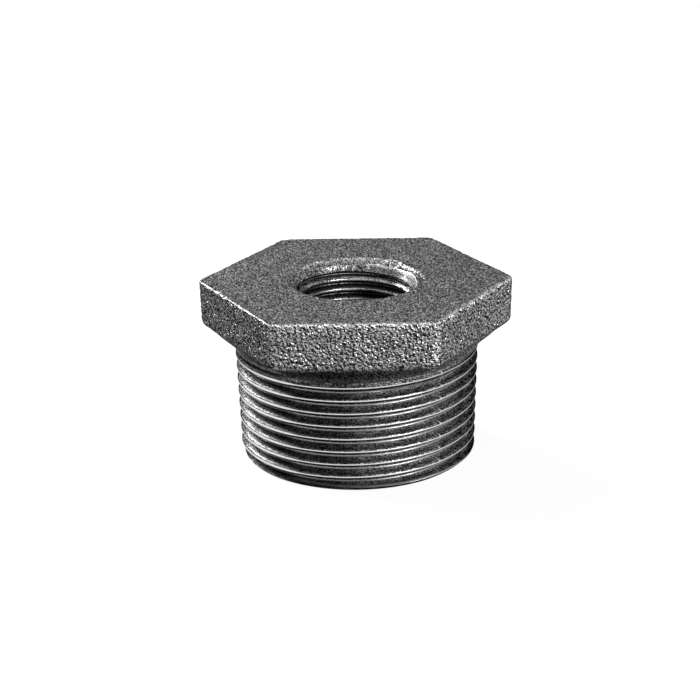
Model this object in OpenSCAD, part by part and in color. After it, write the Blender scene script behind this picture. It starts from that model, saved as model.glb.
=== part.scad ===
// Hexagon reducing bushing in malleable cast iron, a pipe reducer with a
// 1 1/4 inch taper male thread and a 1/2 inch parallel female thread.
// The axis of both threads is Z. The male end face lies on z = 0.

/* [Overall] */
// Length from the male end face to the top of the hexagon
body_l = 31; // [28:0.5:45]

/* [Hexagon head] */
// Width across the flats at the top face
hex_af = 47.5; // [46:0.5:60]
// Height of the flats
hex_h = 8; // [5:0.5:12]
// Radius along the six upright edges
hex_edge_r = 2; // [0.5:0.1:5]
// Bevel around the top face
hex_bevel = 0.4; // [0.2:0.1:1]
// Draft of the flats from the top face down, in degrees
hex_draft = 1.5; // [0:0.5:3]
// Height of the skirt between the flats and the thread
skirt_h = 3.1; // [2:0.1:6]
// Hollowness of the skirt, where 1 is straight
skirt_curve = 1.4; // [1:0.1:2]

/* [Male thread] */
// Major diameter at the gauge plane
male_d = 41.91; // [38:0.01:43]
// Distance from the male end to the gauge plane
gauge_l = 12.7; // [8:0.1:16]
// Threads in each inch
male_tpi = 11; // [8:1:14]
// Length on the axis in which the diameter grows by one
male_taper = 16; // [10:1:32]
// Bevel of the male end, measured on the radius
male_bevel = 0.7; // [0.3:0.1:1.4]
// Length over which the last groove fades out below the skirt
male_fade = 2.2; // [1:0.1:4]
// Angle at which a crest meets the male end, in degrees
male_phase = 217; // [0:1:359]

/* [Female thread] */
// Major diameter
female_d = 20.955; // [16:0.005:23]
// Threads in each inch
female_tpi = 14; // [11:1:19]
// Length of the boss that carries the thread
female_l = 17; // [13:0.5:22]
// Width of the bevelled mouth beyond the major diameter, on each side
mouth_rim = 1; // [0.5:0.1:2]
// Plain ring at each end of the thread
female_land = 0.3; // [0.2:0.1:1]
// Length over which each end of the groove fades
female_fade = 0.9; // [0.4:0.1:2]

/* [Cored recess] */
// Wall between the root of the male thread and the recess
recess_wall = 4.1; // [3:0.1:5.5]
// Draft of the recess, in degrees
recess_draft = 3; // [1:0.5:6]
// Radius where the recess meets the boss
recess_fillet = 3; // [1:0.5:4]
// Bevel around the open end of the recess
recess_bevel = 0.5; // [0.3:0.1:1]

/* [Hidden] */
iron = "dimgray";
inch = 25.4;
overlap = 1;
ledge = 0.08;

// Thread form of 55 degrees: depth as a share of the pitch, and the flats at crest and root
thread_depth = 0.640327;
thread_flat = 1 / 6;
male_steps = 60;
female_steps = 48;
round_fn = 96;

// Hexagon head. The skirt stops a little inside the lower edge of the flats.
half_af = hex_af / 2;
hex_z = body_l - hex_h;
low_half_af = half_af - hex_h * tan(hex_draft);
bevel_half_af = half_af - hex_bevel * tan(hex_draft);
facet_turn = 15;
skirt_reach = 0.94;
skirt_steps = 5;
skirt_sides = 72;

// Male thread
male_p = inch / male_tpi;
male_h = thread_depth * male_p;
neck_z = hex_z - skirt_h;
neck_r = male_crest_r(neck_z) + ledge;
male_end_r = male_crest_r(0);

// Female thread. The ridges stay just outside the pilot bore that runs through them.
female_p = inch / female_tpi;
female_h = thread_depth * female_p;
pilot_r = female_d / 2 - female_h;
ridge_r = pilot_r / cos(180 / female_steps) + 0.005;
boss_z = body_l - female_l;
boss_bevel = 1.2;
mouth_r = female_d / 2 + mouth_rim;
mouth_depth = mouth_r - pilot_r;
thread_low_z = boss_z + boss_bevel + female_land;
thread_high_z = body_l - mouth_depth - female_land;

// Recess
recess_r = male_end_r - male_h - recess_wall;
recess_top_r = recess_r - boss_z * tan(recess_draft);

// Radius over the crests of the male thread at height z
function male_crest_r(z) = male_d / 2 + (z - gauge_l) / (2 * male_taper);

// Radius of the male surface at height z, where depth runs from 0 at a crest to 1 at a root
function male_surface_r(z, depth) =
    male_crest_r(z) - depth * male_h * clamp01((neck_z - z) / male_fade);

// Radius of the female surface at height z, where depth runs from 0 in the groove to 1 on a ridge
function female_surface_r(z, depth) =
    let (low = clamp01((z - thread_low_z) / female_fade),
         high = clamp01((thread_high_z - z) / female_fade))
    ridge_r + (1 - depth) * (female_d / 2 - ridge_r) * min(low, high);

function clamp01(v) = max(0, min(1, v));

function polar(r, a, z) = [r * cos(a), r * sin(a), z];

// Distance from the axis to the facet that faces angle a, on a hexagon of half width w with a
// corner at angle 0. The facets between two flats lie on the radius of the upright edge.
function facet_half(w, a) =
    let (from_corner = abs((a + 30) % 60 - 30))
    (w - hex_edge_r) / cos(30) * cos(from_corner) + hex_edge_r;

// Radius of that hexagon at angle a
function hex_r(w, a) = min([for (b = [0:facet_turn:60]) facet_half(w, b) / cos(a % 60 - b)]);

// Ring of the skirt, from the round neck at t = 0 towards the hexagon at t = 1
function skirt_ring(t, z) =
    [for (i = [0:skirt_sides - 1])
        let (a = 360 * i / skirt_sides, rise = skirt_reach * pow(t, skirt_curve))
        polar(neck_r + (hex_r(low_half_af, a) - neck_r) * rise, a, z)];

// Closed solid through a stack of rings with the same number of points
module ring_stack(rings) {
    n = len(rings[0]);
    last = (len(rings) - 1) * n;
    walls = [
        for (k = [0:len(rings) - 2], i = [0:n - 1])
            let (a = k * n + i, b = k * n + (i + 1) % n)
            each [[a, a + n, b + n], [a, b + n, b]]
    ];
    polyhedron(
        points = [for (ring = rings) each ring],
        faces = concat([[for (i = [0:n - 1]) i]], walls, [[for (i = [n - 1:-1:0]) last + i]]));
}

// Solid inside one helical thread surface that runs from z_from to z_to or beyond.
// surface_r(z, depth) gives the radius. A crest passes angle 0 at height z_from.
module helical_solid(pitch, steps, z_from, z_to, surface_r) {
    form = [
        [-thread_flat / 2, 0],
        [thread_flat / 2, 0],
        [0.5 - thread_flat / 2, 1],
        [0.5 + thread_flat / 2, 1]
    ];
    last = ceil(((z_to - z_from) / pitch + 0.5) * steps);
    points = [
        for (i = [0:last], f = form)
            let (z = z_from + pitch * (i / steps + f[0]))
            polar(surface_r(z, f[1]), 360 * i / steps, z)
    ];
    centre_low = len(points);
    centre_high = centre_low + 1;
    walls = [
        for (i = [0:last - 1], j = [0:3])
            if (j < 3 || i < last - steps)
                let (a = 4 * i + j,
                     b = a + 4,
                     up = j < 3 ? 1 : 4 * steps - 3)
                each [[a, a + up, b + up], [a, b + up, b]]
    ];
    low_fan = [for (i = [0:steps - 1]) [centre_low, 4 * i, 4 * i + 4]];
    low_step = [centre_low, 4 * steps, 3, 2, 1, 0];
    high_fan = [for (i = [last - steps:last - 1]) [centre_high, 4 * i + 7, 4 * i + 3]];
    high_step = concat([centre_high, 4 * (last - steps) + 3], [for (j = [0:3]) 4 * last + j]);
    polyhedron(
        points = concat(points, [[0, 0, z_from], [0, 0, points[4 * last][2]]]),
        faces = concat(walls, low_fan, [low_step], high_fan, [high_step]));
}

// Block of the hexagon: drafted bars with bevelled top edges, crossed. Three carry the flats,
// and the rest round the upright edges.
module hex_block() {
    intersection_for (a = [0:facet_turn:180 - facet_turn])
        rotate([90, 0, a])
            linear_extrude(2 * hex_af, center = true)
                hex_bar_profile(a);
}

// Profile of the bar whose two sides face angle a
module hex_bar_profile(a) {
    half_outline = [
        [facet_half(low_half_af, a), hex_z],
        [facet_half(bevel_half_af, a), body_l - hex_bevel],
        [facet_half(half_af - hex_bevel, a), body_l]
    ];
    polygon(concat(half_outline, [for (k = [2:-1:0]) [-half_outline[k][0], half_outline[k][1]]]));
}

// Hollow skirt that leads from the round neck to the hexagon
module skirt() {
    rings = [for (k = [0:skirt_steps]) skirt_ring(k / skirt_steps, neck_z + skirt_h * k / skirt_steps)];
    ring_stack(concat(rings, [skirt_ring(1, hex_z + overlap)]));
}

module head() {
    hex_block();
    skirt();
}

// Space that the bevelled male end may fill
module shank_envelope() {
    clear_r = neck_r + overlap;
    bevel_r = male_end_r - male_bevel;
    rotate_extrude($fn = round_fn)
        polygon([
            [0, 0],
            [bevel_r, 0],
            [clear_r, clear_r - bevel_r],
            [clear_r, neck_z + overlap],
            [0, neck_z + overlap]
        ]);
}

// Tapered shank with the male thread
module shank() {
    intersection() {
        shank_envelope();
        rotate([0, 0, male_phase])
            helical_solid(male_p, male_steps, -male_p, neck_z + overlap,
                function (z, depth) male_surface_r(z, depth));
    }
}

// Cored recess in the male end, with its fillet at the boss
module recess() {
    steps = 6;
    centre_r = recess_top_r - recess_fillet;
    centre_z = boss_z - recess_fillet;
    rotate_extrude($fn = round_fn)
        polygon(concat(
            [[0, -overlap], [recess_r + recess_bevel + overlap, -overlap], [recess_r, recess_bevel]],
            [for (k = [0:steps])
                let (a = 90 * k / steps)
                [centre_r + recess_fillet * cos(a), centre_z + recess_fillet * sin(a)]],
            [[0, boss_z]]));
}

// Groove of the female thread, cut flat where it meets the plain rings
module female_groove() {
    intersection() {
        translate([0, 0, thread_low_z])
            cylinder(h = thread_high_z - thread_low_z, r = female_d / 2 + overlap, $fn = round_fn);
        helical_solid(female_p, female_steps, thread_low_z - female_p, thread_high_z,
            function (z, depth) female_surface_r(z, depth));
    }
}

// Pilot bore with the bevel at each end
module pilot_bore() {
    length = body_l - boss_z + 2 * overlap;
    translate([0, 0, boss_z - overlap])
        cylinder(h = length, r = pilot_r, $fn = round_fn);
    translate([0, 0, body_l - mouth_depth])
        cylinder(h = mouth_depth + overlap, r1 = pilot_r, r2 = mouth_r + overlap, $fn = round_fn);
    translate([0, 0, boss_z - overlap])
        cylinder(h = boss_bevel + overlap, r1 = pilot_r + boss_bevel + overlap, r2 = pilot_r, $fn = round_fn);
}

module bushing() {
    color(iron)
    difference() {
        union() {
            head();
            shank();
        }
        recess();
        female_groove();
        pilot_bore();
    }
}

bushing();
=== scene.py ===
"""Looks of a hexagon reducing bushing: a sand cast head, a taper thread cut outside and a
parallel thread cut inside.

The CAD node is replaced by one finer closed mesh of the same form. It is built in millimetres
from closed solids that are joined and cut. Then its cast vertices are moved inwards to give the
cast skin, and the mesh is scaled to metres.
"""

import math

import bpy
import numpy as np
from mathutils import Matrix, Quaternion, Vector, noise


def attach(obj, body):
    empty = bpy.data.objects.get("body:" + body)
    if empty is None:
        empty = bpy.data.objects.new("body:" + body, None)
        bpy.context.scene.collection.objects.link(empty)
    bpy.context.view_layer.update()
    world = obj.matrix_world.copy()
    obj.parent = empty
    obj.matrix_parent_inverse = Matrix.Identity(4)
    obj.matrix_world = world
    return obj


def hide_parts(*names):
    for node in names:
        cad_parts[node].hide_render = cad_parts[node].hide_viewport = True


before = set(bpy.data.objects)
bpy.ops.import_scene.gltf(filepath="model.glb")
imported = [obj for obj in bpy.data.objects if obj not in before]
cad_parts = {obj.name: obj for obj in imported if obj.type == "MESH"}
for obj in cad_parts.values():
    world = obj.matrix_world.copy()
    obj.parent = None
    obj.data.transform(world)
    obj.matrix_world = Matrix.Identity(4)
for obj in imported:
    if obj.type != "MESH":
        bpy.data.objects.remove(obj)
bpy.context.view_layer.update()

MM = 0.001
INCH = 25.4

# Sizes of the part in millimetres, as its source has them
BODY_L = 31.0
HEX_AF = 47.5
HEX_H = 8.0
HEX_EDGE_R = 2.0
HEX_DRAFT = math.radians(1.5)
SKIRT_H = 3.1
SKIRT_CURVE = 1.4
MALE_D = 41.91
GAUGE_L = 12.7
MALE_TPI = 11
MALE_TAPER = 16
MALE_BEVEL = 0.7
MALE_FADE = 2.2
MALE_PHASE = math.radians(217)
FEMALE_D = 20.955
FEMALE_TPI = 14
FEMALE_L = 17.0
BOSS_BEVEL = 1.2
RECESS_WALL = 4.1
RECESS_DRAFT = math.radians(3)
RECESS_FILLET = 3.0
RECESS_BEVEL = 0.5

# Form of a 55 degree thread, as shares of the pitch
THREAD_DEPTH = 0.640327
THREAD_ROUND = 0.137329
FLANK = math.radians(27.5)

# Slack by which solids overlap before they are joined or cut
SLACK = 1.0

# How far the neck stands out beyond the crests of the male thread
NECK_LEDGE = 0.04

# What follows from the sizes
HALF_AF = HEX_AF / 2
HEX_Z = BODY_L - HEX_H
NECK_Z = HEX_Z - SKIRT_H
MALE_PITCH = INCH / MALE_TPI
MALE_H = THREAD_DEPTH * MALE_PITCH
FEMALE_PITCH = INCH / FEMALE_TPI
FEMALE_H = THREAD_DEPTH * FEMALE_PITCH
PILOT_R = FEMALE_D / 2 - FEMALE_H
BOSS_Z = BODY_L - FEMALE_L

# Turn from one corner of the hexagon to the next, and from a corner to the middle of a flat
SIXTH = math.pi / 3
HALF_SIXTH = SIXTH / 2

# Distance of the rounded corners from the axis. Rounding takes off this share of its radius.
CORNER_LOSS = 0.155
CORNER_R = HALF_AF / math.cos(HALF_SIXTH) - HEX_EDGE_R * CORNER_LOSS

# A groove of the female thread passes this angle at this height
FEMALE_PHASE = math.radians(245)
FEMALE_Z = BOSS_Z - SLACK - 2 * FEMALE_PITCH

# Cast mouth of the bore, as (radius, depth) from the top face down, and the cut that widens it on
# one side, with the shift of its axis
MOUTH = [(11.75, 0.0), (11.42, 0.1), (10.55, 0.85), (10.02, 1.95), (PILOT_R - 0.1, 3.3)]
MOUTH_CUT = [(10.42, 0.72), (9.87, 1.9), (PILOT_R - 0.1, 3.1)]
MOUTH_CUT_SHIFT = (0.28, 0.12)
MOUTH_R = MOUTH[0][0]
RIM_R = MOUTH[1][0]

# How far the soft lower and upper edges of the flats reach on each side
LOWER_EDGE_REACH = 0.9
UPPER_EDGE_REACH = 0.5

# Mark that the thread cutter left where it was drawn back, at the same angle on each turn: how far
# it leans from crest to root, how deep it is and how far it runs on
CUTTER_MARK = math.radians(-48)
CUTTER_MARK_SLANT = 0.022
CUTTER_MARK_DEPTH = 0.035
CUTTER_MARK_FADE = math.radians(24)

# Fineness of the mesh: sides round the axis, steps in a turn of a thread, rows of points, and the
# longest step along the mouth
HEAD_SIDES = 570
ROUND_SIDES = 256
MALE_STEPS = 180
FEMALE_STEPS = 120
SKIRT_ROWS = 13
EDGE_ROWS = 5
FLAT_ROWS = 27
TOP_ROWS = 42
FILLET_ROWS = 9
WALL_ROWS = 29
FLOOR_ROWS = 5
MOUTH_STEP = 0.3


def male_crest_r(z):
    """Radius over the crests of the male thread at height z."""
    return MALE_D / 2 + (z - GAUGE_L) / (2 * MALE_TAPER)


NECK_R = male_crest_r(NECK_Z) + NECK_LEDGE
END_FACE_R = male_crest_r(0) - MALE_BEVEL
RECESS_R = male_crest_r(0) - MALE_H - RECESS_WALL
RECESS_TOP_R = RECESS_R - BOSS_Z * math.tan(RECESS_DRAFT)


def columns(*parts):
    """One array whose last axis runs through the parts, which are broadcast to one shape."""
    return np.stack(np.broadcast_arrays(*parts), axis=-1)


def polar(radius, angle, z):
    """Points at a radius and an angle about Z."""
    return columns(radius * np.cos(angle), radius * np.sin(angle), z)


def mesh_object(name, points, polygons):
    """Object from an array of points and a list of polygons."""
    mesh = bpy.data.meshes.new(name)
    mesh.from_pydata(np.asarray(points).tolist(), [], polygons)
    mesh.update()
    piece = bpy.data.objects.new(name, mesh)
    bpy.context.scene.collection.objects.link(piece)
    return piece


def rows_of(*blocks):
    """One list of polygons from arrays of triangles and quads."""
    return [row for block in blocks for row in block.reshape(-1, block.shape[-1]).tolist()]


def ring_stack(name, rings):
    """Closed solid through rings of equal length, lowest first, with a fan at each end."""
    count, sides = rings.shape[:2]
    index = np.arange(count * sides).reshape(count, sides)
    after = np.roll(index, -1, axis=1)
    low = count * sides
    high = low + 1
    walls = columns(index[:-1], after[:-1], after[1:], index[1:])
    low_fan = columns(low, after[0], index[0])
    high_fan = columns(high, index[-1], after[-1])
    points = np.vstack([rings.reshape(-1, 3), rings[0].mean(axis=0), rings[-1].mean(axis=0)])
    return mesh_object(name, points, rows_of(walls, low_fan, high_fan))


def refined(profile, step):
    """The (radius, z) pairs of a profile with further ones between, no more than step apart."""
    points = [profile[0]]
    for start, end in zip(profile, profile[1:]):
        count = max(1, math.ceil(math.dist(start, end) / step))
        for k in range(1, count + 1):
            points.append(tuple(a + (b - a) * k / count for a, b in zip(start, end)))
    return points


def revolved(name, profile, centre=(0, 0)):
    """Closed solid of revolution from (radius, z) pairs, lowest first."""
    profile = np.asarray(profile, float)
    angle = np.linspace(0, math.tau, ROUND_SIDES, endpoint=False)
    return ring_stack(name, polar(profile[:, :1], angle, profile[:, 1:]) + (*centre, 0))


def thread_form():
    """One pitch of the rounded thread form, as shares.

    It gives offsets along the axis, and depths that are 0 at the crest and 1 at the root.
    """
    turn = math.pi / 2 - FLANK
    arc = np.array([-1, -0.5, 0, 0.5, 1]) * turn
    along = THREAD_ROUND * np.sin(arc)
    down = THREAD_ROUND * (1 - np.cos(arc)) / THREAD_DEPTH
    offsets = np.concatenate([along, [0.25], 0.5 + along, [0.75]])
    depths = np.concatenate([down, [0.5], 1 - down, [0.5]])
    return offsets, depths


def helical_solid(name, pitch, steps, z_from, z_to, phase, surface_r):
    """Solid inside one helical surface. A crest passes the angle phase at z_from.

    surface_r gives the radius from z, the depth (0 at a crest, 1 at a root) and the angle.
    """
    offsets, depths = thread_form()
    last = math.ceil(((z_to - z_from) / pitch + 1) * steps)
    i = np.arange(last + 1)[:, None]
    z = z_from + pitch * (i / steps + offsets)
    angle = np.broadcast_to(phase + math.tau * i / steps, z.shape)
    radius = surface_r(z, np.broadcast_to(depths, z.shape), angle)
    points = polar(radius, angle, z).reshape(-1, 3)
    index = np.arange(len(points)).reshape(z.shape)
    within = columns(index[:-1, :-1], index[1:, :-1], index[1:, 1:], index[:-1, 1:])
    joins = last - steps
    starts, ends = index[:, 0], index[:, -1]
    between = columns(ends[:joins], ends[1 : joins + 1], starts[steps + 1 :], starts[steps:-1])
    low, high = len(points), len(points) + 1
    low_fan = columns(low, starts[1 : steps + 1], starts[:steps])
    high_fan = columns(high, ends[joins:-1], ends[joins + 1 :])
    low_step = [low, *index[0].tolist(), int(starts[steps])]
    high_step = [high, *index[-1, ::-1].tolist(), int(ends[joins])]
    centres = [[0, 0, z_from], [0, 0, z[-1, -1]]]
    polygons = rows_of(within, between, low_fan, high_fan) + [low_step, high_step]
    return mesh_object(name, np.vstack([points, centres]), polygons)


def combine(piece, tool, operation):
    """Joins, cuts or intersects piece with tool, and removes tool."""
    modifier = piece.modifiers.new("solid", "BOOLEAN")
    modifier.operation = operation
    modifier.solver = "MANIFOLD"
    modifier.object = tool
    graph = bpy.context.evaluated_depsgraph_get()
    mesh = bpy.data.meshes.new_from_object(piece.evaluated_get(graph))
    piece.modifiers.clear()
    old = piece.data
    piece.data = mesh
    bpy.data.meshes.remove(old)
    bpy.data.objects.remove(tool)


def from_corner(angle):
    """Turn between an angle and the nearest corner of the hexagon, which has one at angle 0."""
    return np.abs((angle + HALF_SIXTH) % SIXTH - HALF_SIXTH)


def hex_r(half, angle):
    """Radius at an angle of a hexagon with rounded corners and half its width across the flats."""
    turn = from_corner(angle)
    centre = (half - HEX_EDGE_R) / math.cos(HALF_SIXTH)
    on_arc = turn < math.atan2(HEX_EDGE_R / 2, centre + HEX_EDGE_R * math.cos(HALF_SIXTH))
    across = np.where(on_arc, centre * np.sin(turn), 0)
    arc = centre * np.cos(turn) + np.sqrt(HEX_EDGE_R**2 - across**2)
    return np.where(on_arc, arc, half / np.cos(HALF_SIXTH - turn))


def soft_corner(before, corner, after, reach):
    """Points of a soft corner between two straight runs, as (radius, z) for each angle."""
    def towards(end):
        way = end - corner
        return corner + way / np.linalg.norm(way, axis=-1, keepdims=True) * reach

    t = np.linspace(0, 1, EDGE_ROWS + 1)[:, None, None]
    return (1 - t) ** 2 * towards(before) + 2 * t * (1 - t) * corner + t**2 * towards(after)


def run(start, end, steps):
    """Points that lead from start towards end, without either."""
    t = (np.arange(1, steps) / steps)[:, None, None]
    return start + (end - start) * t


def head():
    """Hexagon block and skirt, made of rows of (radius, z) at each angle."""
    angle = np.linspace(0, math.tau, HEAD_SIDES, endpoint=False)
    low_half = HALF_AF - HEX_H * math.tan(HEX_DRAFT)

    def row(radius, z):
        return columns(radius, np.full_like(angle, z))

    neck = row(NECK_R, NECK_Z)
    low = row(hex_r(low_half, angle), HEX_Z)
    high = row(hex_r(HALF_AF, angle), BODY_L)
    inner = row(RIM_R, BODY_L)
    t = np.linspace(0, 1, SKIRT_ROWS, endpoint=False)[:, None, None]
    skirt = neck + (low - neck) * np.concatenate([t**SKIRT_CURVE, t], axis=-1)
    lower_edge = soft_corner(skirt[-1], low, high, LOWER_EDGE_REACH)
    upper_edge = soft_corner(low, high, inner, UPPER_EDGE_REACH)
    rows = np.concatenate([
        skirt[:-1],
        lower_edge,
        run(lower_edge[-1], upper_edge[0], FLAT_ROWS),
        upper_edge,
        run(upper_edge[-1], inner, TOP_ROWS),
        inner[None],
    ])
    return ring_stack("head", polar(rows[..., 0], angle, rows[..., 1]))


def male_surface_r(z, depth, angle):
    """Radius of the male thread, with its run-out below the neck and the mark of the cutter."""
    fade = np.clip((NECK_Z - z) / MALE_FADE, 0, 1)
    past = (angle - CUTTER_MARK - CUTTER_MARK_SLANT * (1 - depth)) % math.tau
    mark = np.where(past < CUTTER_MARK_FADE, 1 - past / CUTTER_MARK_FADE, 0)
    return male_crest_r(z) - fade * (depth * MALE_H + mark * CUTTER_MARK_DEPTH)


def female_surface_r(z, depth, angle):
    """Radius of the female thread, the same at each height and angle."""
    return FEMALE_D / 2 - depth * FEMALE_H


def shank():
    """Tapered male thread, bevelled and cut flat at its end."""
    top = NECK_Z + SLACK
    clear_r = NECK_R + SLACK
    piece = helical_solid(
        "shank", MALE_PITCH, MALE_STEPS, -MALE_PITCH, top, MALE_PHASE, male_surface_r
    )
    outline = [(END_FACE_R, 0), (clear_r, clear_r - END_FACE_R), (clear_r, top)]
    combine(piece, revolved("envelope", outline), "INTERSECT")
    return piece


def mouth_profile(rows, above):
    """Profile of a cut from the top face down, lowest first, carried on above the face."""
    profile = refined([(r, BODY_L - depth) for r, depth in reversed(rows)], MOUTH_STEP)
    return profile + [(rows[0][0] + above, BODY_L - rows[0][1] + SLACK)]


def bore():
    """Space of the female thread, its cast mouth, the cut beside it and the inner bevel."""
    low, high = BOSS_Z - SLACK, BODY_L - MOUTH_CUT[0][1]
    piece = helical_solid(
        "bore", FEMALE_PITCH, FEMALE_STEPS, FEMALE_Z, high, FEMALE_PHASE, female_surface_r
    )
    combine(piece, revolved("bore_ends", [(FEMALE_D, low), (FEMALE_D, high)]), "INTERSECT")
    cut = mouth_profile(MOUTH_CUT, 0)
    combine(piece, revolved("mouth_cut", cut, MOUTH_CUT_SHIFT), "UNION")
    combine(piece, revolved("mouth", mouth_profile(MOUTH, SLACK)), "UNION")
    foot = [(PILOT_R + BOSS_BEVEL + SLACK, low), (PILOT_R - SLACK, BOSS_Z + BOSS_BEVEL + SLACK)]
    combine(piece, revolved("foot", foot), "UNION")
    return piece


def recess():
    """Space of the cored recess in the male end."""
    fillet_z = BOSS_Z - RECESS_FILLET
    mouth = (RECESS_R + RECESS_BEVEL + SLACK, -SLACK)
    wall = [
        (RECESS_R + (RECESS_TOP_R - RECESS_R) * z / fillet_z, z)
        for z in np.linspace(RECESS_BEVEL, fillet_z, WALL_ROWS, endpoint=False)
    ]
    fillet = [
        (
            RECESS_TOP_R - RECESS_FILLET * (1 - math.cos(a)),
            BOSS_Z - RECESS_FILLET * (1 - math.sin(a)),
        )
        for a in np.linspace(0, math.pi / 2, FILLET_ROWS)
    ]
    floor = [(r, BOSS_Z) for r in np.linspace(fillet[-1][0], PILOT_R, FLOOR_ROWS + 1)[1:]]
    return revolved("recess", [mouth, *wall, *fillet, *floor])


def casting():
    """The whole bushing as one closed mesh, in millimetres."""
    piece = head()
    combine(piece, shank(), "UNION")
    combine(piece, recess(), "DIFFERENCE")
    combine(piece, bore(), "DIFFERENCE")
    return piece


# Places where the surface was cut or cast, in millimetres. BORE_ZONE_R lies just outside the
# mouth, and OUTSIDE_R in the wall round the recess. NEAR is how far off a place may be.
BORE_ZONE_R = 12.2
OUTSIDE_R = RECESS_R + 0.4
BOSS_FACE_R = PILOT_R + 1.0
CAST_MOUTH_DEPTH = 2.4
CUT_MOUTH_DEPTH = 2.6
THREAD_TOP_DEPTH = 0.3
CAST_ABOVE_NECK = (NECK_Z + 0.1, NECK_Z + 0.8)
CAST_IN_RECESS = (0.4, 1.2)
BEVEL_LIMIT_Z = 2.5
NEAR = 0.01

# Noise in the mesh: the shift for each seed, and the gain
RELIEF_SHIFT = Vector((17.3, 5.1, 9.7))
RELIEF_GAIN = 0.8

# Size and depth of what the cast skin has, in millimetres: broad lumps, sand grain, of which the
# top face has a smaller share, and nicks along the worn edges
LUMP_SIZE, LUMP_DEPTH = 3.2, 0.06
GRAIN_SIZE, GRAIN_DEPTH = 0.62, 0.11
TOP_SHARE = 0.35
NICK_SIZE, NICK_DEPTH = 0.9, 0.22
NICK_STEP = (0.5, 0.9)
NICK_WEAR_GAIN = 3

# Heights between which the skin of the flats gives way to that of the top face, and between which
# it sets in above the neck
TOP_SKIN = (BODY_L - 0.25, BODY_L - 0.02)
COARSE_SKIN = (NECK_Z - 0.2, NECK_Z + 1.2)

# Wear and painted highlight of the six upright edges, from the one at angle 0 on
UPRIGHT_WEAR_AND_HIGHLIGHT = np.array([0.15, 0.3, 0.4, 0.15, 0.25, 0.5])
UPRIGHT_WEAR_AND_HIGHLIGHT_REACH = 0.6

# Wear and painted highlight of the mouth's rim, its reach, and the angle in radians where it is
# strongest
RIM_WEAR_AND_HIGHLIGHT = 0.28
RIM_WEAR_AND_HIGHLIGHT_REACH = 0.35
RIM_WEAR_AND_HIGHLIGHT_ANGLE = 0.9

# Painted shade of the six flats, as the brightness of each, from the one at angle 30 degrees on
FLAT_PAINTED_SHADE = np.array([0.65, 0.6, 0.6, 0.45, 0.73, 0.93])

# Wear and painted highlight of the top edges of those flats, and its reach in millimetres
TOP_WEAR_AND_HIGHLIGHT = np.array([0.2, 0.2, 0.2, 0.35, 0.9, 0.95])
TOP_WEAR_AND_HIGHLIGHT_REACH = np.array([0.4, 0.4, 0.4, 0.38, 0.62, 0.62])

# Darkening along those edges: an even band, with its reach inwards and downwards, and patches of
# dirt. The first number is the share of brightness that dirt and painted shade take at most.
DIRT_AND_SHADE_DARKNESS = 0.87
TOP_EDGE_DARKENING = np.array([0.8, 0.8, 0.8, 0.0, 0.0, 0.0])
TOP_EDGE_DARKENING_REACH, TOP_EDGE_DARKENING_DEPTH = 0.6, 1.0
TOP_PATCHES = np.array([0.0, 0.0, 0.0, 0.75, 0.2, 0.2])
PATCH_SIZE, PATCH_REACH = 0.9, 0.7
PATCH_STEP = (0.35, 0.65)

# Painted shade under the head, which sets in and ends between these heights, and its least share
# away from the front, where it is strongest. The azimuth and its reach are in degrees.
NECK_SHADE_FROM = (NECK_Z - 1.3, NECK_Z - 0.1)
NECK_SHADE_TO = (HEX_Z - 1.2, HEX_Z + 0.2)
NECK_SHADE_LEAST = 0.35
FRONT_AZIMUTH, FRONT_REACH = -8, 30

# Darkening towards the male end, at the corners on the two sides and along the lower edge of the
# flats
MALE_END_DARKENING = 0.5
MALE_END_DARKENING_TO = (1.1, 1.9)
CORNER_DARKENING, CORNER_DARKENING_REACH = 0.7, 0.35
LOW_EDGE_DARKENING, LOW_EDGE_REACH, LOW_EDGE_WIDTH = 0.6, 0.4, 1.5

# Painted shade in the bore, as azimuth and reach in degrees, and strength: on its right, and at the
# back from a depth on
RIGHT_BORE_SHADE = (124, 18, 0.5)
BACK_BORE_SHADE = (167, 15, 0.8)
BACK_BORE_SHADE_DEPTH = (4.6, 5.4)

# Painted light and shade of the cast mouth: its brightness at some depths, and from its -X side to
# its +X side
MOUTH_TONE = ([0.1, 0.5, 0.85, 1.5], [1.5, 1.2, 0.75, 0.5])
MOUTH_SIDE_TONE = ([-1, -0.4, 0, 0.4, 0.7, 1], [0.9, 1.0, 1.0, 0.65, 0.24, 0.16])

# Painted light at some depths at its -X end, where the mouth hardly stands out from the top face,
# and where that end sets in, as shares of the radius
MOUTH_END_TONE = ([0.1, 0.85, 1.5], [0.9, 1.3, 2.0])
MOUTH_END = (0.62, 0.92)

# The cut beside the mouth is painted bright from x = BRIGHT_X on, and this painted light changes
# with x
BRIGHT_X = 1.0
CUT_TONE = ([BRIGHT_X, 4.0, 7.0, 9.0], [1.7, 1.9, 1.0, 0.62])

# Painted highlight along a line near the upper edge of the cut: its depth at some x, its width and
# how much brighter it is. Above the line the cut is painted dull.
CUT_LINE_DEPTH = ([3.0, 6.0, 9.0], [0.85, 1.1, 1.1])
CUT_LINE_WIDTH, CUT_HIGHLIGHT_GAIN = 0.22, 2.6
CUT_DULL = 0.35
CUT_DULL_STEP = (-0.3, -0.1)


def clamp01(values):
    return np.clip(values, 0, 1)


def smooth(values, low, high):
    """0 below low, 1 above high, with a soft step between."""
    t = clamp01((values - low) / (high - low))
    return t * t * (3 - 2 * t)


def bell(distance, reach):
    """1 at no distance, with a soft fall to about a third at the reach and to 0 beyond."""
    return np.exp(-((distance / reach) ** 2))


def relief(points, size, seed):
    """Noise between 0 and 1 at each point, with features of a size in millimetres."""
    shift = RELIEF_SHIFT * seed
    values = np.array([noise.noise(Vector(p) + shift) for p in (points / size).tolist()])
    return clamp01(0.5 + RELIEF_GAIN * values)


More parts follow.
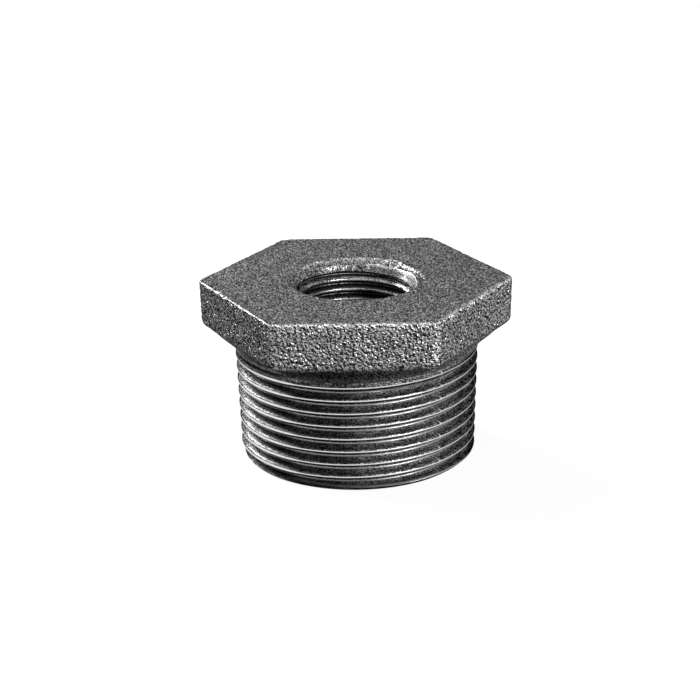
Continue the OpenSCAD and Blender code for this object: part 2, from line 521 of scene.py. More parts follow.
def cylindrical(points):
    """Radius, angle and height of each point."""
    x, y, z = points.T
    return np.hypot(x, y), np.arctan2(y, x), z


def off_azimuth(points, azimuth):
    """Degrees between each point and an azimuth, which is 0 in front and 90 at +X."""
    x, y, _ = points.T
    return (np.degrees(np.arctan2(x, -y)) - azimuth + 180) % 360 - 180


def flat_of(points):
    """Number of the flat in whose sixth each point lies, from the one at angle 30 degrees on."""
    _, angle, _ = cylindrical(points)
    return np.floor(angle / SIXTH).astype(int) % 6


def to_flat(points):
    """Distance of each point from the flat of its sixth, taken as upright."""
    radius, angle, _ = cylindrical(points)
    return HALF_AF - radius * np.cos(HALF_SIXTH - from_corner(angle))


def off_top_edge(points):
    """Distance of each point from the top edge of the flat of its sixth."""
    return np.hypot(to_flat(points), BODY_L - points[:, 2])


def on_rows(points, rows, shift=(0.0, 0.0)):
    """True for the points that lie on a profile of the mouth.

    The profile is given as (radius, depth) about an axis that may be shifted.
    """
    radius = np.hypot(points[:, 0] - shift[0], points[:, 1] - shift[1])
    depth = BODY_L - points[:, 2]
    row_radius = np.interp(depth, [d for _, d in rows], [r for r, _ in rows])
    on_line = np.abs(radius - row_radius) < 2 * NEAR
    return on_line & (depth > rows[0][1] - NEAR) & (depth < rows[-1][1])


def edge_wear_and_highlight(points):
    """Wear and painted highlight of each point, from 0 to 1, along the outer edges and the rim of
    the mouth.
    """
    radius, angle, z = cylindrical(points)
    flat = flat_of(points)
    top = TOP_WEAR_AND_HIGHLIGHT[flat] * bell(off_top_edge(points), TOP_WEAR_AND_HIGHLIGHT_REACH[flat])
    turn = from_corner(angle)
    off_corner = np.hypot(radius * np.sin(turn), CORNER_R - radius * np.cos(turn))
    weight = UPRIGHT_WEAR_AND_HIGHLIGHT[np.round(angle / SIXTH).astype(int) % 6]
    upright = weight * bell(off_corner, UPRIGHT_WEAR_AND_HIGHLIGHT_REACH) * (z > HEX_Z)
    off_rim = np.hypot(radius - RIM_R, BODY_L - z)
    facing = 0.5 + 0.5 * np.cos(angle - RIM_WEAR_AND_HIGHLIGHT_ANGLE)
    rim = RIM_WEAR_AND_HIGHLIGHT * facing * bell(off_rim, RIM_WEAR_AND_HIGHLIGHT_REACH)
    return np.max([top, upright, rim], axis=0)


def dirt_and_shade(points):
    """How dark each point outside the bore is made, from 0 to 1, by dirt and by painted shade."""
    x, _, z = points.T
    flat = flat_of(points)
    inside = to_flat(points)
    in_front = bell(off_azimuth(points, FRONT_AZIMUTH), FRONT_REACH)
    # Painted shade under the head, strongest in front.
    under_head = smooth(z, *NECK_SHADE_FROM) * (1 - smooth(z, *NECK_SHADE_TO))
    under_head = under_head * (NECK_SHADE_LEAST + (1 - NECK_SHADE_LEAST) * in_front)
    # Darker bands at the male end, the back top edges, the side corners and the lower edges.
    male_end = MALE_END_DARKENING * (1 - smooth(z, *MALE_END_DARKENING_TO))
    top_edge = TOP_EDGE_DARKENING[flat] * bell(inside, TOP_EDGE_DARKENING_REACH) * (z > BODY_L - TOP_EDGE_DARKENING_DEPTH)
    patches = TOP_PATCHES[flat] * smooth(relief(points, PATCH_SIZE, seed=4), *PATCH_STEP)
    patches = patches * bell(off_top_edge(points), PATCH_REACH)
    corner = CORNER_DARKENING * bell(CORNER_R - np.abs(x), CORNER_DARKENING_REACH) * (z > HEX_Z)
    low_edge = bell(z - HEX_Z, LOW_EDGE_REACH) * (inside < LOW_EDGE_WIDTH)
    low_edge = LOW_EDGE_DARKENING * (1 - in_front) * low_edge
    return np.max([under_head, male_end, top_edge, patches, corner, low_edge], axis=0)


def bore_painted_shade(points):
    """How far the thread of the bore is darkened by painted shade, from 0 to 1."""
    def patch(azimuth, reach, strength):
        return strength * bell(off_azimuth(points, azimuth), reach)

    deep = smooth(BODY_L - points[:, 2], *BACK_BORE_SHADE_DEPTH)
    return np.maximum(patch(*RIGHT_BORE_SHADE), patch(*BACK_BORE_SHADE) * deep)


def mouth_painted_light(points):
    """Painted light and shade of the cast mouth at each point."""
    x, _, z = points.T
    depth = BODY_L - z
    side = x / MOUTH_R
    tone = np.interp(depth, *MOUTH_TONE) * np.interp(side, *MOUTH_SIDE_TONE)
    at_end = smooth(-side, *MOUTH_END)
    return tone + at_end * (np.interp(depth, *MOUTH_END_TONE) - tone)


def cut_painted_light(points):
    """Painted light of the cut beside the mouth at each point, with a painted highlight along a
    line.
    """
    x, _, z = points.T
    below_line = BODY_L - z - np.interp(x, *CUT_LINE_DEPTH)
    line = 1 + CUT_HIGHLIGHT_GAIN * bell(below_line, CUT_LINE_WIDTH)
    dull = CUT_DULL + (1 - CUT_DULL) * smooth(below_line, *CUT_DULL_STEP)
    return np.interp(x, *CUT_TONE) * line * dull


def cast_share(points):
    """How much of the cast skin each point gets: 1 where it was cast and 0 where it was cut.

    A narrow ring of the top face round the mouth gets none.
    """
    radius, _, z = cylindrical(points)
    outside = smooth(z, *CAST_ABOVE_NECK) * (radius > BORE_ZONE_R)
    in_zone = (radius <= BORE_ZONE_R) & (z > BODY_L - CAST_MOUTH_DEPTH)
    in_mouth = in_zone & on_rows(points, MOUTH)
    in_recess = (radius < RECESS_R + NEAR) & (radius > BOSS_FACE_R) & (z < BOSS_Z + NEAR)
    return np.max([outside, in_mouth, in_recess * smooth(z, *CAST_IN_RECESS)], axis=0)


def skin_depth(points, on_top, edge):
    """How deep the cast skin lies below the plain surface at each point."""
    lump = relief(points, LUMP_SIZE, seed=1)
    grain = relief(points, GRAIN_SIZE, seed=2)
    grain_share = 1 - (1 - TOP_SHARE) * on_top
    nick = smooth(relief(points, NICK_SIZE, seed=3), *NICK_STEP) * clamp01(NICK_WEAR_GAIN * edge)
    return LUMP_DEPTH * (1 - lump) + GRAIN_DEPTH * grain_share * (1 - grain) + NICK_DEPTH * nick


def brightness(points, share, coarse, in_bore):
    """What the base colour is multiplied by at each point: painted light and shade, and dirt."""
    # Each flat gets its own brightness as painted shade.
    flats = np.where(coarse > 0.5, FLAT_PAINTED_SHADE[flat_of(points)], 1.0)
    tone = flats * (1 - DIRT_AND_SHADE_DARKNESS * dirt_and_shade(points))
    # The thread of the bore gets painted shade.
    tone = np.where(in_bore, 1 - bore_painted_shade(points), tone)
    # The cast mouth gets painted light and shade.
    tone = np.where(in_bore & (share > 0.5), mouth_painted_light(points), tone)
    # The cut gets painted light and a painted highlight line.
    in_cut = in_bore & on_rows(points, MOUTH_CUT, MOUTH_CUT_SHIFT) & (points[:, 0] > BRIGHT_X)
    return np.where(in_cut, cut_painted_light(points), tone)


def vectors_of(items, name):
    """Array of a vector property of the vertices or faces of a mesh."""
    values = np.empty(len(items) * 3)
    items.foreach_get(name, values)
    return values.reshape(-1, 3)


def add_cast_skin(mesh):
    """Moves the cast vertices inwards, and stores what the materials read on the mesh."""
    points = vectors_of(mesh.vertices, "co")
    radius, _, z = cylindrical(points)
    share = cast_share(points)
    edge = edge_wear_and_highlight(points)
    on_top = smooth(z, *TOP_SKIN)
    depth = share * skin_depth(points, on_top, edge)
    moved = points - vectors_of(mesh.vertices, "normal") * depth[:, None]
    mesh.vertices.foreach_set("co", moved.ravel())
    in_bore = radius < MOUTH_R
    coarse = (1 - np.maximum(on_top, in_bore)) * smooth(z, *COARSE_SKIN)
    tone = brightness(points, share, coarse, in_bore)
    for name, values in (("edge", edge), ("coarse", coarse), ("tone", tone)):
        mesh.attributes.new(name, "FLOAT", "POINT").data.foreach_set("value", values)
    mesh.update()


class Nodes:
    """Adds nodes to a material and links them.

    A value that is a socket is linked, and any other is set.
    """

    def __init__(self, name):
        self.material = bpy.data.materials.new(name)
        self.material.use_nodes = True
        self.tree = self.material.node_tree
        self.shader = self.tree.nodes["Principled BSDF"]

    def put(self, socket, value):
        if isinstance(value, bpy.types.NodeSocket):
            self.tree.links.new(value, socket)
        else:
            socket.default_value = value

    def add(self, kind, **inputs):
        node = self.tree.nodes.new("ShaderNode" + kind)
        for name, value in inputs.items():
            self.put(node.inputs[name], value)
        return node

    def place(self):
        return self.add("TexCoord").outputs["Object"]

    def attribute(self, name):
        node = self.add("Attribute")
        node.attribute_name = name
        return node.outputs["Fac"]

    def math(self, operation, a, b=0.0):
        node = self.add("Math")
        node.operation = operation
        self.put(node.inputs[0], a)
        self.put(node.inputs[1], b)
        return node.outputs[0]

    def plus(self, a, b):
        return self.math("ADD", a, b)

    def minus(self, a, b):
        return self.math("SUBTRACT", a, b)

    def times(self, a, b):
        return self.math("MULTIPLY", a, b)

    def vector_math(self, operation, a, b=(0.0, 0.0, 0.0), output="Vector"):
        node = self.add("VectorMath")
        node.operation = operation
        self.put(node.inputs[0], a)
        self.put(node.inputs[1], b)
        return node.outputs[output]

    def parts(self, vector):
        """X, Y and Z of a vector."""
        return tuple(self.add("SeparateXYZ", Vector=vector).outputs)

    def xyz(self, x, y, z):
        return self.add("CombineXYZ", X=x, Y=y, Z=z).outputs[0]

    def angle(self, place):
        """Angle of a place about Z."""
        x, y, _ = self.parts(place)
        return self.math("ARCTAN2", y, x)

    def noise(self, vector, size, detail=2.0, roughness=0.5):
        """Noise with features of a size in millimetres."""
        scale = 1 / (size * MM)
        node = self.add("TexNoise", Vector=vector, Scale=scale, Detail=detail, Roughness=roughness)
        return node.outputs["Fac"]

    def ridges(self, vector, size, steepness):
        """Noise with sharp ridges between hollows, from 0 in a hollow to 1 on a ridge."""
        fold = self.math("ABSOLUTE", self.minus(self.noise(vector, size, 1.0), 0.5))
        return self.math("MAXIMUM", 0.0, self.minus(1.0, self.times(fold, steepness)))

    def painted_slope_light(self, vector, size, way, gain):
        """Noise around 0.5 that paints light on one side of each grain and shade on the other.

        The painted light side faces along way, whose lengths are shares of the size.
        """
        shift = tuple(size * MM * share for share in way)
        near = self.noise(vector, size, 1.0)
        far = self.noise(self.vector_math("ADD", vector, shift), size, 1.0)
        return self.plus(0.5, self.times(self.minus(near, far), gain))

    def ramp(self, value, low, high, from_value=0.0, to_value=1.0):
        """Soft step of a value between low and high."""
        node = self.add("MapRange", Value=value)
        node.interpolation_type = "SMOOTHSTEP"
        names = ("From Min", "From Max", "To Min", "To Max")
        for name, number in zip(names, (low, high, from_value, to_value)):
            node.inputs[name].default_value = number
        return node.outputs["Result"]

    def mix(self, factor, a, b):
        node = self.add("Mix")
        node.data_type = "FLOAT"
        for name, value in (("Factor", factor), ("A", a), ("B", b)):
            self.put(node.inputs[name], value)
        return node.outputs["Result"]

    def colour(self, factor, a, b):
        node = self.add("Mix")
        node.data_type = "RGBA"
        self.put(node.inputs["Factor"], factor)
        for socket, value in ((node.inputs[6], a), (node.inputs[7], b)):
            self.put(socket, value if isinstance(value, bpy.types.NodeSocket) else (*value, 1))
        return node.outputs[2]

    def shaded(self, colour, value):
        """Colour multiplied by a value."""
        return self.vector_math("MULTIPLY", colour, self.xyz(value, value, value))

    def bump(self, height, depth, normal=None):
        """Bump with a depth in millimetres."""
        node = self.add("Bump", Height=height, Strength=1.0, Distance=depth * MM)
        if normal is not None:
            self.put(node.inputs["Normal"], normal)
        return node.outputs["Normal"]

    def finish(self, base, roughness, normal, metallic=1.0, tint=1.0):
        """Sets the shader, and gives the material."""
        self.put(self.shader.inputs["Base Color"], base)
        self.put(self.shader.inputs["Roughness"], roughness)
        self.put(self.shader.inputs["Normal"], normal)
        self.shader.inputs["Metallic"].default_value = metallic
        self.shader.inputs["Specular Tint"].default_value = (tint, tint, tint, 1)
        return self.material


# Base colours of the cast skin, partly its grain and partly painted light and shade of its relief:
# hollows and ridges on the flats, hollows and grains on the top face, painted glints on the lightest
# grains, stains, and edges that are rubbed and given a painted highlight
FLAT_HOLLOW, FLAT_RIDGE = (0.006, 0.006, 0.006), (0.54, 0.54, 0.544)
TOP_HOLLOW, TOP_GRAIN = (0.025, 0.025, 0.0255), (0.225, 0.225, 0.227)
GLINT_LIGHT, STAIN_DARK = (0.45, 0.45, 0.455), (0.05, 0.05, 0.052)
WEAR_AND_HIGHLIGHT_COLOUR = (0.85, 0.85, 0.855)

# Sizes of its noises in millimetres, with how strong they are. The grains of the flats get painted
# light on the side that faces up and to +X and painted shade on the other, and those of the top face
# are twice as long along Y.
SLOPE_SIZE, SLOPE_GAIN = 0.5, 3.4
SLOPE_WAY = (0.17, 0.06, 0.2)
RIDGE_SIZE, RIDGE_STEEPNESS, RIDGE_SHARE = 0.54, 6.0, 0.15
TOP_STRETCH = (1.0, 0.5, 1.0)
TOP_FINE_SIZE, TOP_BROAD_SIZE, TOP_BROAD_SHARE = 0.25, 0.42, 0.4
GLINT_SIZE, GLINT_SHARE = 0.28, 0.7
STAIN_SIZE, STAIN_SHARE = 6.0, 0.2
SKIN_BUMP = 0.1


def cast_iron():
    """Dark skin of a sand casting, with edges rubbed bright and given painted highlights.

    It has ridges and hollows on the flats, and fine grain on the top face. Their colours are partly
    painted light and shade of the relief, with painted glints.
    """
    n = Nodes("iron_cast")
    place = n.place()
    coarse = n.attribute("coarse")
    ridges = n.ridges(place, RIDGE_SIZE, RIDGE_STEEPNESS)
    rough = n.mix(RIDGE_SHARE, n.painted_slope_light(place, SLOPE_SIZE, SLOPE_WAY, SLOPE_GAIN), ridges)
    stretched = n.vector_math("MULTIPLY", place, TOP_STRETCH)
    fine = n.noise(stretched, TOP_FINE_SIZE, 0.5)
    grain = n.mix(TOP_BROAD_SHARE, fine, n.noise(stretched, TOP_BROAD_SIZE, 2.0, 0.75))
    height = n.mix(coarse, grain, rough)
    # Painted light and shade: the flats are dark in the hollows and light on ridges and lit slopes.
    on_flats = n.colour(n.ramp(rough, 0.35, 0.9), FLAT_HOLLOW, FLAT_RIDGE)
    # The top face: partly its grain, partly painted shade in the hollows and painted light on
    # grains.
    on_top = n.colour(n.ramp(grain, 0.43, 0.585), TOP_HOLLOW, TOP_GRAIN)
    base = n.colour(coarse, on_top, on_flats)
    # Painted glints on scattered grains.
    glint = n.ramp(n.noise(stretched, GLINT_SIZE, 0.0), 0.6, 0.68)
    base = n.colour(n.times(glint, GLINT_SHARE), base, GLINT_LIGHT)
    stain = n.ramp(n.noise(place, STAIN_SIZE, 3), 0.35, 0.7, 0.0, STAIN_SHARE)
    base = n.colour(stain, base, STAIN_DARK)
    # Edges: partly rubbed bright, partly painted highlight.
    sheen = n.times(n.attribute("edge"), n.ramp(height, 0.33, 0.62))
    base = n.shaded(n.colour(sheen, base, WEAR_AND_HIGHLIGHT_COLOUR), n.attribute("tone"))
    roughness = n.mix(n.ramp(height, 0.3, 0.75), 0.44, 0.3)
    normal = n.bump(n.mix(coarse, grain, ridges), SKIN_BUMP)
    return n.finish(base, roughness, normal, metallic=0.95, tint=0.4)


# Base colours of the threads: oily and clean flanks, the painted sheen on one side of the male
# flanks, the painted highlight line near the root and the crest line outside, the lines on ridge and
# groove inside, the tick of the cutter with its line painted as a highlight, and the burr at the end
OILY, CLEAN = (0.01, 0.01, 0.0102), (0.2, 0.2, 0.202)
SHEEN_FLANK = (0.14, 0.14, 0.142)
ROOT_HIGHLIGHT, MALE_CREST = (0.22, 0.22, 0.222), (0.7, 0.7, 0.71)
FEMALE_RIDGE, FEMALE_GROOVE = (0.45, 0.45, 0.455), (0.08, 0.08, 0.08)
TICK_LIGHT, BURR_LIGHT = (0.6, 0.6, 0.605), (0.4, 0.4, 0.405)

# Streaks along a thread, by their fineness across it and their length in millimetres, and specks
STREAK_FINENESS, STREAK_LENGTH = 2.2, 1.8
SPECK_SIZE, BLOTCH_SIZE = 0.26, 0.24
STREAK_BUMP, SPECK_BUMP = 0.02, 0.01

# Sides of the male thread, as azimuth, full reach and whole reach in degrees: one where its flanks
# get a painted sheen towards the crest, and one where they are painted lighter
LEFT_SHEEN_SIDE = (-55, 14, 29)
RIGHT_SHEEN_SIDE = (28, 14, 38)

# The painted highlight line near each root of the male thread lies this turn of the helix below it
ROOT_LINE_TURN = 0.3

# Half the width of the tick in radians, with its soft edge, and the cosines of the helix between
# which it sets in on the way from root to crest
TICK_WIDTH = (0.002, 0.012)
TICK_REACH = (-0.7, 0.1)

# Burr above the bevel of the male end, in millimetres
BURR_Z, BURR_REACH = MALE_BEVEL + 0.08, 0.16

# Bump that rounds the crests on the side of the painted sheen, in millimetres
CREST_BUMP = 0.12


def helix(n, place, pitch, start):
    """Cosine and sine of the place within one pitch, the same all along a helical solid.

    The cosine is 1 at its crest, and the sine is above 0 on the flank over that.
    """
    rise = n.times(n.parts(place)[2], math.tau / (pitch * MM))
    turn = n.plus(n.minus(rise, n.angle(place)), start)
    return n.math("COSINE", turn), n.math("SINE", turn)


def streaks(n, place, cosine, sine):
    """Noise drawn out along a thread.

    The two waves of the helix stand for the place across the thread, so that the noise closes
    from turn to turn.
    """
    x, y, _ = n.parts(place)
    along = 1 / (STREAK_LENGTH * MM)
    vector = n.xyz(n.times(x, along), n.times(y, along), n.times(cosine, STREAK_FINENESS))
    node = n.add("TexNoise", Vector=vector, Scale=1.0, Detail=1.0, Roughness=0.5)
    node.noise_dimensions = "4D"
    n.put(node.inputs["W"], n.times(sine, STREAK_FINENESS))
    return node.outputs["Fac"]


def cutter_tick(n, place, cosine):
    """Thin slanted line across each flank, where the cutter was drawn back, from 0 to 1."""
    slant = n.times(cosine, CUTTER_MARK_SLANT / 2)
    middle = CUTTER_MARK + CUTTER_MARK_SLANT / 2
    off = n.math("ABSOLUTE", n.minus(n.minus(n.angle(place), slant), middle))
    return n.times(n.minus(1.0, n.ramp(off, *TICK_WIDTH)), n.ramp(cosine, *TICK_REACH))


def on_side(n, place, azimuth, near, far):
    """1 within an angle near of an azimuth, and 0 beyond the angle far, all in degrees."""
    towards = n.math("COSINE", n.minus(n.angle(place), math.radians(azimuth - 90)))
    return n.ramp(towards, math.cos(math.radians(far)), math.cos(math.radians(near)))


def at_height(n, place, height, reach):
    """1 near a height in millimetres and 0 from a reach above and below it."""
    off = n.math("ABSOLUTE", n.minus(n.parts(place)[2], height * MM))
    core = 0.4 * reach
    return n.ramp(off, core * MM, reach * MM, 1.0, 0.0)


def thread_surface(n, place, cosine, sine):
    """Streaks, specks, the mean of both, and the flank colour that the mean gives."""
    lines = streaks(n, place, cosine, sine)
    speck = n.noise(place, SPECK_SIZE, 0.5)
    tone = n.mix(0.5, lines, speck)
    return lines, speck, tone, n.colour(n.ramp(tone, 0.38, 0.64), OILY, CLEAN)


def lighter_to_root(n, cosine):
    """Painted light and shade of a flank: lighter towards the root of the helical solid."""
    return n.ramp(cosine, -0.9, 0.6, 2.0, 0.5)


def thread_finish(n, base, lines, speck, tone, normal=None):
    """Sets what the two threads have in common, and gives the material."""
    roughness = n.ramp(tone, 0.3, 0.7, 0.46, 0.3)
    normal = n.bump(speck, SPECK_BUMP, n.bump(lines, STREAK_BUMP, normal))
    return n.finish(n.shaded(base, n.attribute("tone")), roughness, normal, tint=0.15)


def male_flank_light_and_shade(n, place, cosine, sine, sheen, right_sheen):
    """Painted light and shade of the male flanks, which are painted darker under each crest.

    They are painted lighter towards the root, or towards the crest on the side of the painted sheen.
    """
    tone = n.mix(sheen, lighter_to_root(n, cosine), n.ramp(cosine, -0.9, 0.9, 0.25, 0.65))
    tone = n.times(tone, n.ramp(right_sheen, 0.0, 1.0, 1.0, 2.2))
    tone = n.times(tone, n.ramp(sine, -0.6, 0.0, 0.35, 1.0))
    return n.times(tone, n.ramp(n.noise(place, BLOTCH_SIZE, 0.5), 0.38, 0.62, 0.3, 1.7))


def male_root_highlight(n, cosine, sine, sheen, right_sheen):
    """Painted highlight: a fine line a little below each root, broader on the right, faint on the
    left.
    """
    below = n.times(sine, math.sin(ROOT_LINE_TURN))
    below = n.minus(below, n.times(cosine, math.cos(ROOT_LINE_TURN)))
    line = n.ramp(n.plus(below, n.times(right_sheen, 0.05)), 0.9, 0.99)
    return n.times(line, n.ramp(sheen, 0.0, 1.0, 1.0, 0.2))


def male_iron():
    """Taper thread: dark oily flanks with fine lines along them, and bright metal at the crests.

    On one side the flanks get a painted sheen towards the crest, and on the other they are painted
    lighter.
    """
    n = Nodes("iron_male_thread")
    place = n.place()
    cosine, sine = helix(n, place, MALE_PITCH, MALE_PHASE)
    lines, speck, tone, base = thread_surface(n, place, cosine, sine)
    # Painted sheen on the left side of the thread, and painted light on its right.
    sheen = on_side(n, place, *LEFT_SHEEN_SIDE)
    right_sheen = on_side(n, place, *RIGHT_SHEEN_SIDE)
    worn = n.ramp(tone, 0.25, 0.42, 0.4, 1.0)
    base = n.colour(n.times(sheen, 0.6), base, SHEEN_FLANK)
    base = n.shaded(base, male_flank_light_and_shade(n, place, cosine, sine, sheen, right_sheen))
    # Painted highlight: a line near each root.
    base = n.colour(n.times(male_root_highlight(n, cosine, sine, sheen, right_sheen), worn), base, ROOT_HIGHLIGHT)
    at_crest = n.ramp(n.plus(cosine, n.times(sheen, 0.12)), 0.94, 1.0)
    base = n.colour(n.times(at_crest, worn), base, MALE_CREST)
    # The cutter's mark is in the mesh; its bright line here is painted highlight.
    tick = n.times(cutter_tick(n, place, cosine), n.ramp(speck, 0.3, 0.5, 0.3, 1.0))
    base = n.colour(tick, base, TICK_LIGHT)
    burr = n.times(at_height(n, place, BURR_Z, BURR_REACH), n.minus(worn, sheen))
    base = n.colour(burr, base, BURR_LIGHT)
    rounding = n.times(n.ramp(cosine, 0.5, 1.0, 1.0, 0.0), sheen)
    return thread_finish(n, base, lines, speck, tone, n.bump(rounding, CREST_BUMP))


def female_iron():
    """Thread of the bore: dark flanks with painted shade towards the grooves, bright ridges and dull
    grooves.

    A groove is a crest of the bore's helical solid, so the cosine is 1 there and -1 on a ridge.
    """
    n = Nodes("iron_female_thread")
    place = n.place()
    start = FEMALE_PHASE - math.tau * FEMALE_Z / FEMALE_PITCH
    cosine, sine = helix(n, place, FEMALE_PITCH, start)
    lines, speck, tone, base = thread_surface(n, place, cosine, sine)
    # Painted shade: the flanks darken towards each groove.
    base = n.shaded(base, lighter_to_root(n, cosine))
    worn = n.ramp(tone, 0.28, 0.44)
    on_ridge = n.times(n.ramp(n.times(cosine, -1.0), 0.9, 0.99), worn)
    base = n.colour(on_ridge, base, FEMALE_RIDGE)
    in_groove = n.times(n.ramp(cosine, 0.95, 0.99), worn)
    base = n.colour(in_groove, base, FEMALE_GROOVE)
    return thread_finish(n, base, lines, speck, tone)


# Freshly cut band beside the mouth, with grain that is flattened along Z
BRIGHT_DARK, BRIGHT_LIGHT = (0.015, 0.015, 0.015), (0.11, 0.11, 0.111)
BRIGHT_STRETCH = (1.0, 1.0, 2.5)
BRIGHT_SIZE, BRIGHT_BUMP = 0.4, 0.03

# Turned end face and bevel, kept dark as painted shade near the floor: a film over them, and rings
# that are this many times finer across
FACE_DARK, FACE_LIGHT = (0.004, 0.004, 0.004), (0.13, 0.13, 0.132)
FILM_SIZE = 1.4
RING_SIZE, RING_FINENESS, RING_BUMP = 2.4, 12.0, 0.03


def bright_iron():
    """Freshly cut band beside the cast mouth."""
    n = Nodes("iron_bright")
    flattened = n.vector_math("MULTIPLY", n.place(), BRIGHT_STRETCH)
    speck = n.noise(flattened, BRIGHT_SIZE, 1)
    base = n.colour(n.ramp(speck, 0.36, 0.6), BRIGHT_DARK, BRIGHT_LIGHT)
    roughness = n.ramp(speck, 0.3, 0.7, 0.4, 0.25)
    return n.finish(n.shaded(base, n.attribute("tone")), roughness, n.bump(speck, BRIGHT_BUMP))


def faced_iron():
    """Turned end face and bevel, with rings around the axis, kept dark as painted shade near the
    floor.
    """
    n = Nodes("iron_faced")
    place = n.place()
    x, y, z = n.parts(place)
    radius = n.vector_math("LENGTH", n.xyz(x, y, 0.0), output="Value")
    rings = n.noise(n.xyz(n.times(radius, RING_FINENESS), z, 0.0), RING_SIZE, 3, 0.6)
    film = n.mix(0.6, n.noise(place, FILM_SIZE, 3, 0.6), n.noise(place, SPECK_SIZE, 0.5))
    base = n.colour(n.ramp(n.mix(0.35, film, rings), 0.44, 0.62), FACE_DARK, FACE_LIGHT)
    return n.finish(base, n.ramp(rings, 0.3, 0.7, 0.35, 0.55), n.bump(rings, RING_BUMP), tint=0.1)


# Order of the materials on the mesh
CAST, MALE, FEMALE, FACED, BRIGHT = range(5)


def assign_materials(mesh):
    """Gives each face the finish of its place: cast, thread, faced or freshly cut."""
    mesh.materials.clear()
    for material in (cast_iron(), male_iron(), female_iron(), faced_iron(), bright_iron()):
        mesh.materials.append(material)
    centres = vectors_of(mesh.polygons, "center")
    radius, _, z = cylindrical(centres)
    outside = radius > OUTSIDE_R
    bevel_z = radius - END_FACE_R
    on_bevel = (z < bevel_z + 2 * NEAR) & (np.abs(z - bevel_z) < 3 * NEAR) & (z < BEVEL_LIMIT_Z)
    in_bore = (radius < BORE_ZONE_R) & (z < BODY_L - THREAD_TOP_DEPTH) & (z > BOSS_Z + NEAR)
    in_cut = on_rows(centres, MOUTH_CUT, MOUTH_CUT_SHIFT) & (z > BODY_L - CUT_MOUTH_DEPTH)
    slots = np.full(len(z), CAST)
    slots[outside & (z < NECK_Z + 2 * NEAR)] = MALE
    slots[outside & on_bevel] = FACED
    slots[z < NEAR] = FACED
    slots[in_bore & ~on_rows(centres, MOUTH)] = FEMALE
    slots[in_cut & (centres[:, 0] > BRIGHT_X)] = BRIGHT
    mesh.polygons.foreach_set("material_index", slots)


# Camera, from a fit to the photograph. Angles are measured from the front flat, and lengths are in
# metres.
CAMERA_DISTANCE = 0.340
CAMERA_ELEVATION = math.radians(20.37)
CAMERA_AZIMUTH = math.radians(1.33)
CAMERA_ROLL = math.radians(-1.15)
CAMERA_TARGET = (-1.167 * MM, 0.0, 17.79 * MM)
CAMERA_LENS = 100.0
CAMERA_NEAR = 0.01

# Lights that face the object: azimuth and elevation in degrees, size in metres and power in watts.
# Azimuth 0 is in front of the front flat and 90 is to its right.
LIGHTS = {
    "key": (-10, 45, (0.14, 0.12), 0.4),
    "left": (-126, 29, (0.32, 0.26), 8.0),
    "right": (44, 25, (0.2, 0.24), 3.4),
}
LIGHT_DISTANCE = 0.5
WORLD_LEVEL = 0.25

# Floor, in metres, with its colour and how white it looks
FLOOR_SIZE = 3.0
FLOOR_Z = -0.00002
FLOOR_GREY = 0.85
FLOOR_GLOW = 0.9


def spin(vector, angle):
    """Vector turned about Z."""
    return Quaternion((0, 0, 1), angle) @ Vector(vector)


def add_camera():
    data = bpy.data.cameras.new("camera")
    data.lens = CAMERA_LENS
    data.clip_start = CAMERA_NEAR
    camera = bpy.data.objects.new("camera", data)
    back = spin((0, -math.cos(CAMERA_ELEVATION), math.sin(CAMERA_ELEVATION)), CAMERA_AZIMUTH)
    camera.location = spin(CAMERA_TARGET, CAMERA_AZIMUTH) + back * CAMERA_DISTANCE
    camera.rotation_mode = "QUATERNION"
    level = (-back).to_track_quat("-Z", "Y")
    camera.rotation_quaternion = level @ Quaternion((0, 0, 1), CAMERA_ROLL)
    bpy.context.scene.collection.objects.link(camera)
    bpy.context.scene.camera = camera


def add_light(name, azimuth, elevation, size, power):
    """Rectangular light that faces the middle of the object."""
    data = bpy.data.lights.new(name, "AREA")
    data.shape = "RECTANGLE"
    data.size, data.size_y = size
    data.energy = power
    light = bpy.data.objects.new(name, data)
    a, e = math.radians(azimuth), math.radians(elevation)
    way = Vector((math.sin(a) * math.cos(e), -math.cos(a) * math.cos(e), math.sin(e)))
    light.location = Vector((0, 0, BODY_L / 2 * MM)) + way * LIGHT_DISTANCE
    light.rotation_mode = "QUATERNION"
    light.rotation_quaternion = (-way).to_track_quat("-Z", "Y")
    bpy.context.scene.collection.objects.link(light)


def white_for_camera(nodes, links):
    """1 for the rays that should see plain white: camera, glossy and transmission rays."""
    path = nodes.new("ShaderNodeLightPath")
    white = path.outputs["Is Camera Ray"]
    for kind in ("Is Glossy Ray", "Is Transmission Ray"):
        either = nodes.new("ShaderNodeMath")
        either.operation = "MAXIMUM"
        links.new(white, either.inputs[0])
        links.new(path.outputs[kind], either.inputs[1])
        white = either.outputs[0]
    return white


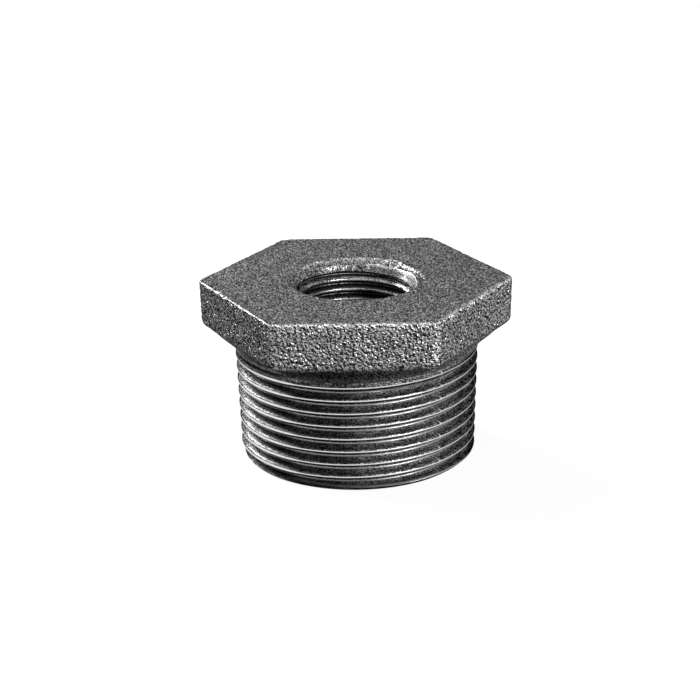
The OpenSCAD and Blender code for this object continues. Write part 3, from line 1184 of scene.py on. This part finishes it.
def set_world():
    world = bpy.data.worlds.new("studio")
    bpy.context.scene.world = world
    world.use_nodes = True
    nodes, links = world.node_tree.nodes, world.node_tree.links
    background = nodes["Background"]
    level = nodes.new("ShaderNodeMix")
    level.data_type = "FLOAT"
    level.inputs["A"].default_value = WORLD_LEVEL
    level.inputs["B"].default_value = 1.0
    links.new(white_for_camera(nodes, links), level.inputs["Factor"])
    background.inputs["Color"].default_value = (1, 1, 1, 1)
    links.new(level.outputs["Result"], background.inputs["Strength"])


def floor_paper():
    """Pale material that looks white but keeps the shadow."""
    material = bpy.data.materials.new("floor_paper")
    material.use_nodes = True
    nodes, links = material.node_tree.nodes, material.node_tree.links
    nodes.clear()
    paper = nodes.new("ShaderNodeBsdfDiffuse")
    paper.inputs["Color"].default_value = (FLOOR_GREY, FLOOR_GREY, FLOOR_GREY, 1)
    glow = nodes.new("ShaderNodeEmission")
    share = nodes.new("ShaderNodeMath")
    share.operation = "MULTIPLY"
    share.inputs[1].default_value = FLOOR_GLOW
    links.new(white_for_camera(nodes, links), share.inputs[0])
    mix = nodes.new("ShaderNodeMixShader")
    links.new(share.outputs[0], mix.inputs[0])
    links.new(paper.outputs[0], mix.inputs[1])
    links.new(glow.outputs[0], mix.inputs[2])
    output = nodes.new("ShaderNodeOutputMaterial")
    links.new(mix.outputs[0], output.inputs["Surface"])
    return material


def add_floor():
    half = FLOOR_SIZE / 2
    corners = [(x * half, y * half, FLOOR_Z) for x, y in ((-1, -1), (1, -1), (1, 1), (-1, 1))]
    floor = mesh_object("floor", corners, [[0, 1, 2, 3]])
    floor.data.materials.append(floor_paper())


def clear_defaults():
    """Removes what a new Blender scene starts with."""
    for name in ("Cube", "Light", "Camera"):
        if name in bpy.data.objects:
            bpy.data.objects.remove(bpy.data.objects[name])


# Edges that turn by more than this stay sharp
SHARP_ANGLE = math.radians(38)


def add_bushing():
    piece = casting()
    piece.name = piece.data.name = "bushing_casting"
    assign_materials(piece.data)
    piece.data.shade_smooth()
    piece.data.set_sharp_from_angle(angle=SHARP_ANGLE)
    add_cast_skin(piece.data)
    piece.data.transform(Matrix.Scale(MM, 4))
    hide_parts("bushing")
    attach(piece, "root")


clear_defaults()
bpy.context.scene.view_settings.view_transform = "Standard"
add_camera()
for light_name, values in LIGHTS.items():
    add_light(light_name, *values)
set_world()
add_floor()
add_bushing()
